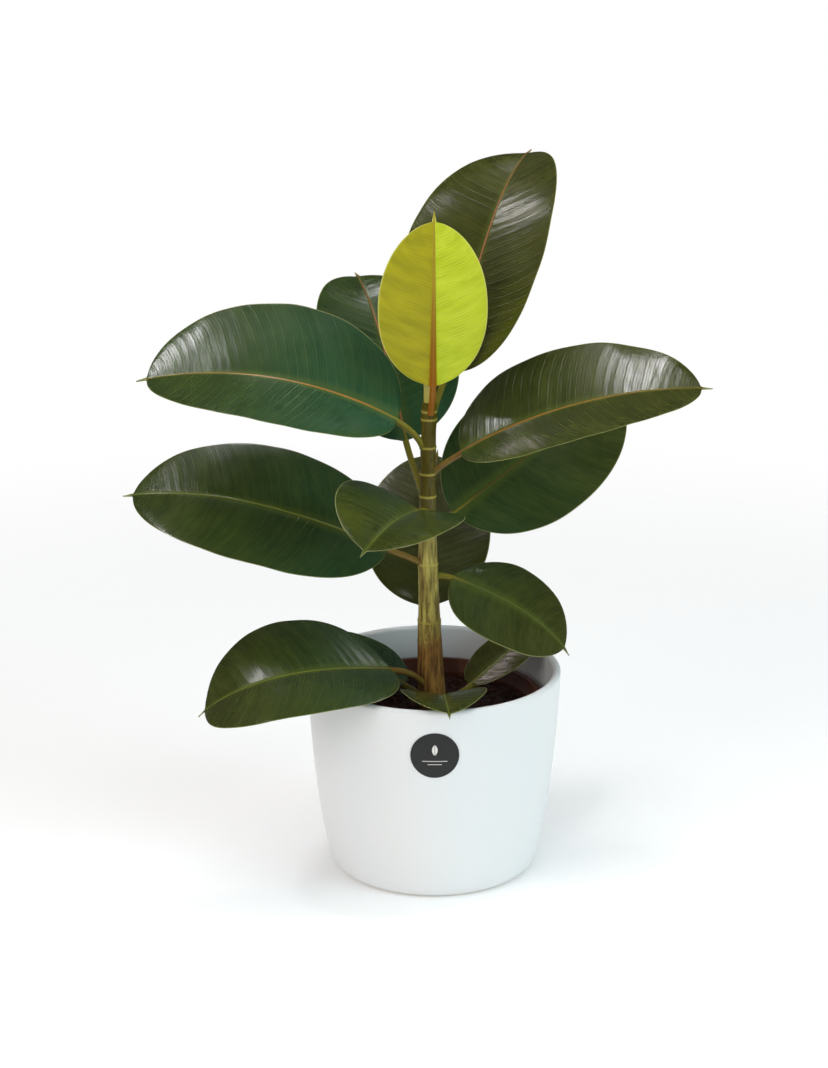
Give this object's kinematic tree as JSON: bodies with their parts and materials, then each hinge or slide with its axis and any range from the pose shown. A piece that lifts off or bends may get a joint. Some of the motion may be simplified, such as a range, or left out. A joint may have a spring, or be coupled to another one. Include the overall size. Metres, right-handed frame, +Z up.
{
  "type": "potted rubber plant",
  "caption": "Young single-stemmed rubber plant with broad glossy oval leaves, in its brown nursery pot inside a plain white ceramic cover pot.",
  "frame": {"origin": "centre of the cover pot's flat underside, where the object stands", "axes": "+Z up along the pot's axis, -Y towards the front with the round label, +X to the right as seen from the front"},
  "size_m": [0.4054, 0.2649, 0.4957],
  "materials": {
    "white_glaze": "smooth white satin glaze",
    "black_paper": "matt black printed sticker",
    "brown_plastic": "thin recycled plastic, slightly scuffed",
    "soil": "dark, damp, crumbly peat",
    "bark": "tan bark with streaks and lenticels, olive green towards the tip",
    "bud_sheath": "pale yellow waxy sheath",
    "leaf": "glossy leathery deep green with a paler midrib",
    "young_leaf": "satin yellow-green, lit through, with fine veins"
  },
  "bodies": {
    "root": {"pot": "white_glaze", "pot_label": "black_paper", "nursery_pot": "brown_plastic", "potting_soil": "soil", "stem": "bark", "terminal_bud": "bud_sheath", "new_leaf": "young_leaf", "tall_right_leaf": "leaf", "upper_left_leaf": "leaf", "upper_right_leaf": "leaf", "tall_left_leaf": "leaf", "front_leaf": "leaf", "back_right_leaf": "leaf", "middle_left_leaf": "leaf", "lower_right_leaf": "leaf", "back_leaf": "leaf", "lower_left_leaf": "leaf", "low_back_left_leaf": "leaf", "low_right_leaf": "leaf", "low_front_leaf": "leaf"}
  },
  "joints": []
}
